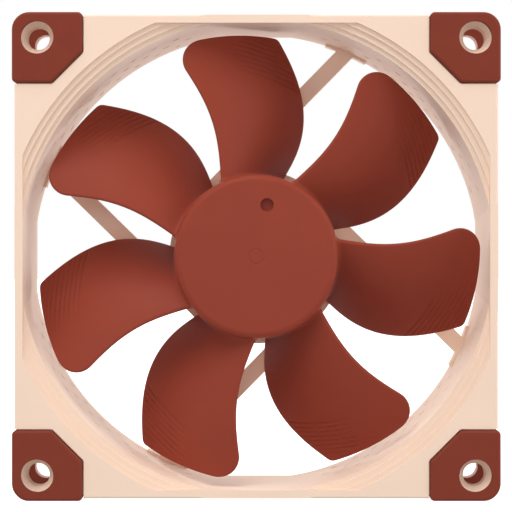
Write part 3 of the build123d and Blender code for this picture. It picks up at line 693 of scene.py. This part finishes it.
def winding_tree():
    """Sweeps the wire along its path and repeats it on every pole."""
    tree, given = new_tree("Windings", {
        "Wire": "Float", "Sides": "Int", "Poles": "Int", "Material": "Material",
    })
    line = add_node(tree, "GeometryNodeMeshToCurve", {}, {"Mesh": given["Geometry"]})
    half = reckon(tree, "MULTIPLY", given["Wire"], 0.5)
    section = add_node(tree, "GeometryNodeCurvePrimitiveCircle", {"mode": "RADIUS"},
                       {"Resolution": given["Sides"], "Radius": half})
    wire = add_node(tree, "GeometryNodeCurveToMesh", {},
                    {"Curve": line.outputs[0], "Profile Curve": section.outputs[0], "Fill Caps": True})
    places = add_node(tree, "GeometryNodePoints", {}, {"Count": given["Poles"]})
    number = add_node(tree, "GeometryNodeInputIndex").outputs[0]
    step = reckon(tree, "DIVIDE", FULL_TURN, given["Poles"])
    turned = add_node(tree, "ShaderNodeCombineXYZ", {}, {"Y": reckon(tree, "MULTIPLY", number, step)})
    ring = add_node(tree, "GeometryNodeInstanceOnPoints", {},
                    {"Points": places.outputs[0], "Instance": wire.outputs[0], "Rotation": turned.outputs[0]})
    close_tree(tree, ring.outputs[0], given["Material"])
    return tree


# ------------------------------------------------------------------ steps shared by the materials

def start_material(name, metallic=0.0, roughness=0.5, ior=1.5):
    """A new material with its shader, and the point of the surface that patterns are drawn at."""
    material = bpy.data.materials.new(name)
    material.use_nodes = True
    tree = material.node_tree
    shader = tree.nodes["Principled BSDF"]
    shader.inputs["Metallic"].default_value = metallic
    shader.inputs["Roughness"].default_value = roughness
    shader.inputs["IOR"].default_value = ior
    point = add_node(tree, "ShaderNodeTexCoord").outputs["Object"]
    return material, tree, shader, point


def clouds(tree, point, size, detail=2.0):
    """A random pattern from 0 to 1 with clouds of a size in metres."""
    noise = add_node(tree, "ShaderNodeTexNoise", {}, {"Vector": point, "Scale": 1 / size, "Detail": detail})
    return noise.outputs[0]


def stretched(tree, point, x, y, z):
    """The point with each axis scaled, which draws a pattern out into lines."""
    return add_node(tree, "ShaderNodeMapping", {}, {"Vector": point, "Scale": (x, y, z)}).outputs[0]


def tint(base, amount):
    """A colour made darker (below 0) or lighter (above 0) by a share."""
    return tuple(min(max(c * (1 + amount), 0.0), 1.0) for c in base) + (1.0,)


def blend(tree, pattern, low, high):
    """A colour that runs between two colours with a pattern."""
    return add_node(tree, "ShaderNodeMix", {"data_type": "RGBA"}, {0: pattern, 6: low, 7: high}).outputs[2]


def vary_colour(tree, shader, pattern, low, high):
    """Base colour that runs between two colours with a pattern."""
    tree.links.new(blend(tree, pattern, low, high), shader.inputs["Base Color"])


def vary_roughness(tree, shader, pattern, low, high):
    """Roughness that runs between two values with a pattern."""
    spread = add_node(tree, "ShaderNodeMapRange", {}, {0: pattern, 3: low, 4: high})
    tree.links.new(spread.outputs[0], shader.inputs["Roughness"])


def raise_surface(tree, shader, *layers):
    """Bump from (pattern, height in metres) layers, one upon the other."""
    normal = None
    for pattern, height in layers:
        inputs = {"Height": pattern, "Distance": height, "Strength": 1.0}
        if normal is not None:
            inputs["Normal"] = normal
        normal = add_node(tree, "ShaderNodeBump", {}, inputs).outputs[0]
    tree.links.new(normal, shader.inputs["Normal"])


# ------------------------------------------------------------------ plastics and rubber

def cream_moulded_pbt(base):
    """Glass-filled PBT from a spark-eroded mould: a fine satin skin with a faint cloudy flow of
    glass fibre, so light spreads softly and edges stay pale."""
    material, tree, shader, point = start_material("Cream_moulded_PBT")
    shader.inputs["Specular IOR Level"].default_value = 0.2
    flow = clouds(tree, point, 14 * MM, 3.0)
    vary_colour(tree, shader, flow, tint(base, -0.05), tint(base, 0.03))
    # The mould's grain is about 0.05 mm; it is drawn at 0.35 mm so that it shows.
    grain = clouds(tree, point, 0.35 * MM)
    vary_roughness(tree, shader, grain, 0.5, 0.7)
    raise_surface(tree, shader, (flow, 0.04 * MM), (grain, 0.006 * MM))
    return material


def brown_moulded_pbt(base):
    """Glass-filled PBT coloured reddish brown, moulded in a finely textured tool: satin, with a
    slightly cloudy colour where the glass fibre lies near the skin."""
    material, tree, shader, point = start_material("Brown_moulded_PBT", roughness=0.5)
    shader.inputs["Specular IOR Level"].default_value = 0.12
    flow = clouds(tree, point, 9 * MM, 4.0)
    vary_colour(tree, shader, flow, tint(base, -0.09), tint(base, 0.07))
    # Fibre near the skin is about 0.01 mm thick; it is drawn as short 0.4 mm flecks.
    flecks = clouds(tree, point, 0.4 * MM, 1.0)
    vary_roughness(tree, shader, flecks, 0.4, 0.6)
    raise_surface(tree, shader, (flow, 0.03 * MM), (flecks, 0.006 * MM))
    return material


def brown_silicone_rubber(base):
    """Compression-moulded silicone rubber: matt and slightly waxy, with fine dust-like mottling
    and a skin that scatters what little it reflects."""
    material, tree, shader, point = start_material("Brown_silicone_rubber", roughness=0.62, ior=1.41)
    shader.inputs["Specular IOR Level"].default_value = 0.2
    dust = clouds(tree, point, 3 * MM, 4.0)
    vary_colour(tree, shader, dust, tint(base, -0.08), tint(base, 0.06))
    skin = clouds(tree, point, 0.5 * MM)
    vary_roughness(tree, shader, skin, 0.55, 0.72)
    raise_surface(tree, shader, (dust, 0.02 * MM), (skin, 0.008 * MM))
    return material


def moulded_nylon(base):
    """Natural nylon bobbin: off-white, slightly see-through at its thin lips, semi-gloss."""
    material, tree, shader, point = start_material("Moulded_nylon", roughness=0.4, ior=1.53)
    flow = clouds(tree, point, 5 * MM)
    vary_colour(tree, shader, flow, tint(base, -0.06), tint(base, 0.02))
    raise_surface(tree, shader, (clouds(tree, point, 0.5 * MM), 0.005 * MM))
    return material


def bearing_polymer(base):
    """Wear-resistant moulded polymer: dark grey, waxy, with pale specks of filler."""
    material, tree, shader, point = start_material("Bearing_polymer", roughness=0.45)
    specks = clouds(tree, point, 0.3 * MM, 3.0)
    vary_colour(tree, shader, specks, tint(base, -0.25), tint(base, 0.35))
    raise_surface(tree, shader, (specks, 0.004 * MM))
    return material


def black_epoxy(base):
    """Transfer-moulded epoxy of chip packages: black, matt and finely sanded-looking."""
    material, tree, shader, point = start_material("Black_moulded_epoxy", roughness=0.6, ior=1.55)
    sand = clouds(tree, point, 0.15 * MM, 3.0)
    vary_colour(tree, shader, sand, tint(base, -0.3), tint(base, 0.5))
    raise_surface(tree, shader, (sand, 0.006 * MM))
    return material


# ------------------------------------------------------------------ metals

def zinc_plated_steel(base):
    """Deep-drawn steel with a thin zinc plating: dull silver with draw lines along its depth."""
    material, tree, shader, point = start_material("Zinc_plated_drawn_steel", metallic=1.0)
    lines = clouds(tree, stretched(tree, point, 1.0, 0.06, 1.0), 0.4 * MM, 3.0)
    spangle = clouds(tree, point, 2.5 * MM, 2.0)
    vary_colour(tree, shader, spangle, tint(base, -0.12), tint(base, 0.08))
    vary_roughness(tree, shader, lines, 0.3, 0.5)
    raise_surface(tree, shader, (lines, 0.003 * MM))
    return material


def ground_steel(base):
    """Ground and polished shaft steel: bright, with hair-fine grinding lines around it."""
    material, tree, shader, point = start_material("Ground_shaft_steel", metallic=1.0)
    lines = clouds(tree, stretched(tree, point, 0.05, 1.0, 0.05), 0.12 * MM, 2.0)
    vary_colour(tree, shader, lines, tint(base, -0.06), tint(base, 0.04))
    vary_roughness(tree, shader, lines, 0.14, 0.26)
    raise_surface(tree, shader, (lines, 0.001 * MM))
    return material


def turned_brass(base):
    """Machined brass: warm yellow with fine tool marks around it and slight tarnish."""
    material, tree, shader, point = start_material("Turned_brass", metallic=1.0)
    marks = clouds(tree, stretched(tree, point, 0.05, 1.0, 0.05), 0.2 * MM, 2.0)
    tarnish = clouds(tree, point, 2 * MM, 3.0)
    vary_colour(tree, shader, tarnish, tint(base, -0.18), tint(base, 0.05))
    vary_roughness(tree, shader, marks, 0.22, 0.36)
    raise_surface(tree, shader, (marks, 0.002 * MM))
    return material


def porous_bronze(base):
    """Sintered bronze soaked in oil: brown metal grains with dark pores between them."""
    material, tree, shader, point = start_material("Porous_sintered_bronze", metallic=1.0)
    grain_size = 0.18 * MM
    grains = add_node(tree, "ShaderNodeTexVoronoi", {}, {"Vector": point, "Scale": 1 / grain_size}).outputs[0]
    vary_colour(tree, shader, grains, tint(base, 0.1), tint(base, -0.55))
    vary_roughness(tree, shader, grains, 0.28, 0.55)
    raise_surface(tree, shader, (grains, -0.02 * MM))
    return material


def stacked_laminations(base):
    """Punched sheets of electrical steel, stacked: thin dark lines of varnish between the sheets."""
    material, tree, shader, point = start_material("Stacked_electrical_steel", metallic=1.0)
    sheet = 0.5 * MM
    lines = add_node(tree, "ShaderNodeTexWave", {"bands_direction": "Y", "wave_profile": "SAW"},
                     {"Vector": point, "Scale": WAVE_REPEAT / sheet}).outputs[1]
    edge = add_node(tree, "ShaderNodeMapRange", {}, {0: lines, 1: 0.8, 2: 1.0}).outputs[0]
    vary_colour(tree, shader, edge, tint(base, 0.05), tint(base, -0.6))
    vary_roughness(tree, shader, clouds(tree, point, 0.3 * MM), 0.35, 0.6)
    raise_surface(tree, shader, (edge, -0.03 * MM))
    return material


def enamelled_copper(base):
    """Copper wire under clear enamel: deep orange metal with a glossy coat, each turn a little
    lighter or darker than the next."""
    material, tree, shader, point = start_material("Enamelled_copper_wire", metallic=1.0, roughness=0.3)
    shader.inputs["Coat Weight"].default_value = 0.7
    shader.inputs["Coat Roughness"].default_value = 0.12
    turns = clouds(tree, stretched(tree, point, 1.0, 0.2, 0.2), 0.5 * MM, 2.0)
    vary_colour(tree, shader, turns, tint(base, -0.2), tint(base, 0.15))
    raise_surface(tree, shader, (clouds(tree, point, 0.3 * MM), 0.003 * MM))
    return material


# ------------------------------------------------------------------ other finishes

def sintered_ferrite(base):
    """Pressed and fired ferrite: nearly black, dull, with a fine gritty grain."""
    material, tree, shader, point = start_material("Sintered_ferrite", roughness=0.7)
    grit = clouds(tree, point, 0.2 * MM, 4.0)
    vary_colour(tree, shader, grit, tint(base, -0.35), tint(base, 0.35))
    raise_surface(tree, shader, (grit, 0.012 * MM))
    return material


def soldermasked_board(base):
    """Fibreglass board under green solder mask: glossy, with paler green over the copper areas
    and the faint weave of the glass cloth."""
    material, tree, shader, point = start_material("Soldermasked_fibreglass", roughness=0.28)
    copper_area = 4.5 * MM
    thread = 0.6 * MM
    cells = add_node(tree, "ShaderNodeTexVoronoi", {"feature": "DISTANCE_TO_EDGE"},
                     {"Vector": point, "Scale": 1 / copper_area}).outputs[0]
    copper = add_node(tree, "ShaderNodeMapRange", {}, {0: cells, 1: 0.05, 2: 0.07}).outputs[0]
    vary_colour(tree, shader, copper, tint(base, -0.3), tint(base, 0.45))
    weave = add_node(tree, "ShaderNodeTexWave", {"bands_direction": "X"},
                     {"Vector": point, "Scale": WAVE_REPEAT / thread}).outputs[1]
    raise_surface(tree, shader, (copper, 0.03 * MM), (weave, 0.004 * MM))
    return material


def fired_ceramic(base):
    """Small fired ceramic capacitors: tan, slightly glazed, finely speckled."""
    material, tree, shader, point = start_material("Fired_ceramic", roughness=0.42)
    specks = clouds(tree, point, 0.25 * MM, 3.0)
    vary_colour(tree, shader, specks, tint(base, -0.15), tint(base, 0.12))
    raise_surface(tree, shader, (specks, 0.005 * MM))
    return material


PRINT_COLOUR = "#5A3A32"


def metallised_label(base):
    """Blank label of metallised paper: silver grey with a soft brushed shine and a plain printed
    ring near its edge."""
    material, tree, shader, point = start_material("Metallised_paper_label", metallic=0.55)
    fibres = clouds(tree, stretched(tree, point, 1.0, 1.0, 0.08), 0.3 * MM, 3.0)
    axes = add_node(tree, "ShaderNodeSeparateXYZ", {}, {0: point})
    across = reckon(tree, "MULTIPLY", axes.outputs[0], axes.outputs[0])
    up = reckon(tree, "MULTIPLY", axes.outputs[2], axes.outputs[2])
    distance = reckon(tree, "SQRT", reckon(tree, "ADD", across, up))
    ring_radius = reach("rear_label") - 1.5 * MM
    ring = reckon(tree, "COMPARE", distance, ring_radius, 0.25 * MM)
    paper = blend(tree, fibres, tint(base, -0.08), tint(base, 0.05))
    vary_colour(tree, shader, ring, paper, tint(linear(PRINT_COLOUR), 0.0))
    vary_roughness(tree, shader, fibres, 0.32, 0.48)
    raise_surface(tree, shader, (fibres, 0.003 * MM))
    return material


FINISH_OF_SLOT = {
    "frame": cream_moulded_pbt,
    "pad_rubber": brown_silicone_rubber,
    "impeller": brown_moulded_pbt,
    "yoke_steel": zinc_plated_steel,
    "shaft_steel": ground_steel,
    "ferrite": sintered_ferrite,
    "brass": turned_brass,
    "bronze": porous_bronze,
    "lamination": stacked_laminations,
    "insulator": moulded_nylon,
    "copper": enamelled_copper,
    "board": soldermasked_board,
    "chip": black_epoxy,
    "capacitor": fired_ceramic,
    "polymer": bearing_polymer,
    "foil": metallised_label,
}
MADE_FINISHES = {}


def finish_for(slot):
    """The material of one of the record's slots, made once."""
    if slot not in MADE_FINISHES:
        base = tuple(getattr(bpy.context.scene.fan_finishes, slot))
        MADE_FINISHES[slot] = FINISH_OF_SLOT[slot](base)
    return MADE_FINISHES[slot]


# ------------------------------------------------------------------ operators

class FAN_OT_impeller(bpy.types.Operator):
    """Mould the hub and its ring of blades"""
    bl_idname = "fan.impeller"
    bl_label = "Impeller"

    def execute(self, context):
        sizes = context.scene.fan_impeller
        piece = grow("impeller_moulding", impeller_blank(sizes), blade_ring_tree(), {
            "Blades": sizes.blades,
            "First blade": sizes.first_blade,
            "Material": finish_for("impeller"),
        })
        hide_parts("impeller")
        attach(piece, "rotor")
        return {"FINISHED"}


class FAN_OT_duct_marks(bpy.types.Operator):
    """Set the small wedges on the duct's wall"""
    bl_idname = "fan.duct_marks"
    bl_label = "Duct marks"

    def execute(self, context):
        sizes = context.scene.fan_duct_marks
        piece = grow("duct_marks", wedge_blank(sizes), duct_mark_tree(), {
            "Per ring": sizes.per_ring,
            "Rings": sizes.rings,
            "First ring": sizes.first_ring,
            "Ring step": sizes.ring_step,
            "Duct radius": FRAME_SIDE - sizes.wall + sizes.swell,
            "Duct front": FRAME_FRONT,
            "Lean": sizes.taper / FRAME_DEPTH,
            "Flat span": sizes.flat_span,
            "Material": finish_for("frame"),
        })
        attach(piece, "housing")
        return {"FINISHED"}


class FAN_OT_windings(bpy.types.Operator):
    """Wind the wire on the stator's poles"""
    bl_idname = "fan.windings"
    bl_label = "Windings"

    def execute(self, context):
        sizes = context.scene.fan_windings
        piece = grow("stator_windings", winding_blank(sizes), winding_tree(), {
            "Wire": sizes.wire,
            "Sides": sizes.sides,
            "Poles": sizes.poles,
            "Material": finish_for("copper"),
        })
        smooth(piece.data, math.radians(80))
        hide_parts(*[f"coil_{number + 1}" for number in range(sizes.poles)])
        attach(piece, "housing")
        return {"FINISHED"}


class FAN_OT_finishes(bpy.types.Operator):
    """Give every carried-over CAD node its material"""
    bl_idname = "fan.finishes"
    bl_label = "Finishes"

    def execute(self, context):
        for part in frame["record"]["subparts"]:
            node = frame["nodes"][part["node"]]
            for slot in node.material_slots:
                slot.material = finish_for(part["material_slot"])
        return {"FINISHED"}


# ------------------------------------------------------------------ stage

WARM_WHITE = (1.0, 0.965, 0.925)
SENSOR_WIDTH = 36.0              # millimetres


def soft_light(name, power, size, place):
    """A square soft light, turned towards the middle of the fan."""
    data = bpy.data.lights.new(name, "AREA")
    data.energy = power
    data.size = size
    data.color = WARM_WHITE
    light = bpy.data.objects.new(name, data)
    light.location = place
    light.rotation_euler = (-Vector(place)).to_track_quat("-Z", "Y").to_euler()
    bpy.context.scene.collection.objects.link(light)


def pale_floor(glow):
    """A plain white floor, evenly painted, that throws no light back at the fan."""
    material, tree, shader, point = start_material("White_painted_floor", roughness=0.9)
    vary_colour(tree, shader, clouds(tree, point, 0.2), (0.68, 0.68, 0.68, 1.0), (0.72, 0.72, 0.72, 1.0))
    shader.inputs["Specular IOR Level"].default_value = 0.1
    shader.inputs["Emission Color"].default_value = (1.0, 1.0, 1.0, 1.0)
    shader.inputs["Emission Strength"].default_value = glow
    sides = 64
    radius = 4.0
    turns = [FULL_TURN * i / sides for i in range(sides)]
    points = [(radius * math.cos(turn), radius * math.sin(turn), FLOOR_LEVEL) for turn in turns]
    mesh = bpy.data.meshes.new("floor")
    mesh.from_pydata(points, [], [tuple(range(sides))])
    mesh.materials.append(material)
    floor = bpy.data.objects.new("floor", mesh)
    floor.visible_diffuse = False
    floor.visible_glossy = False
    bpy.context.scene.collection.objects.link(floor)


def white_room(settings):
    """White surroundings: plain white in the view, and as light brightest behind the fan, dimmer at
    its sides and dimmest in front of it."""
    world = bpy.data.worlds.new("White_room")
    world.use_nodes = True
    tree = world.node_tree
    background = tree.nodes["Background"]
    background.inputs["Color"].default_value = (1.0, 1.0, 1.0, 1.0)
    direction = add_node(tree, "ShaderNodeTexCoord").outputs["Generated"]
    depth = add_node(tree, "ShaderNodeSeparateXYZ", {}, {0: direction}).outputs[1]
    soft = {"interpolation_type": "SMOOTHSTEP"}
    light = settings.side_sky
    for sign, strength in ((1, settings.back_sky), (-1, settings.front_sky)):
        change = add_node(tree, "ShaderNodeMapRange", soft,
                          {0: depth, 1: 0.2 * sign, 2: 0.8 * sign, 3: 0.0, 4: strength - settings.side_sky})
        light = reckon(tree, "ADD", change.outputs[0], light)
    rays = add_node(tree, "ShaderNodeLightPath").outputs["Is Camera Ray"]
    level = add_node(tree, "ShaderNodeMix", {"data_type": "FLOAT"}, {0: rays, 2: light, 3: 1.0})
    tree.links.new(level.outputs[0], background.inputs["Strength"])
    bpy.context.scene.world = world


def front_camera(settings):
    """Camera in front of the fan, looking along its axis."""
    data = bpy.data.cameras.new("camera")
    data.lens = settings.lens
    data.sensor_width = SENSOR_WIDTH
    camera = bpy.data.objects.new("camera", data)
    camera.location = (settings.camera_aside, FAN_FRONT - settings.camera_distance,
                       settings.camera_height)
    camera.rotation_euler = (math.pi / 2, 0.0, 0.0)
    bpy.context.scene.collection.objects.link(camera)
    bpy.context.scene.camera = camera


class FAN_OT_stage(bpy.types.Operator):
    """Set up the camera, the floor and the lights"""
    bl_idname = "fan.stage"
    bl_label = "Stage"

    def execute(self, context):
        settings = context.scene.fan_stage
        context.scene.view_settings.view_transform = "Standard"
        front_camera(settings)
        pale_floor(settings.floor_glow)
        white_room(settings)
        soft_light("key", settings.key_power, 0.5, (-0.14, -0.36, 0.58))
        soft_light("left", settings.left_power, 0.5, (-0.55, -0.45, 0.15))
        soft_light("right", settings.right_power, 0.5, (0.6, -0.15, 0.1))
        soft_light("front", settings.front_power, 0.3, (0.0, -0.75, 0.0))
        return {"FINISHED"}


class FAN_PT_looks(bpy.types.Panel):
    """Panel with the fan's pieces and their settings"""
    bl_label = "Case fan"
    bl_idname = "FAN_PT_looks"
    bl_space_type = "VIEW_3D"
    bl_region_type = "UI"
    bl_category = "Case fan"

    def draw(self, context):
        for name, group in SETTINGS.items():
            box = self.layout.box()
            box.label(text=group.__doc__)
            for setting in group.__annotations__:
                box.prop(getattr(context.scene, name), setting)
        for operator in OPERATORS:
            self.layout.operator(operator.bl_idname)


OPERATORS = (FAN_OT_impeller, FAN_OT_duct_marks, FAN_OT_windings, FAN_OT_finishes, FAN_OT_stage)
CLASSES = (*SETTINGS.values(), *OPERATORS, FAN_PT_looks)


def register():
    for item in CLASSES:
        bpy.utils.register_class(item)
    for name, group in SETTINGS.items():
        setattr(bpy.types.Scene, name, PointerProperty(type=group))


def unregister():
    for name in SETTINGS:
        delattr(bpy.types.Scene, name)
    for item in reversed(CLASSES):
        bpy.utils.unregister_class(item)


def main():
    """Build the looks, piece by piece."""
    register()
    bpy.ops.fan.impeller()
    bpy.ops.fan.duct_marks()
    bpy.ops.fan.windings()
    bpy.ops.fan.finishes()
    bpy.ops.fan.stage()


if __name__ == "__main__":
    main()
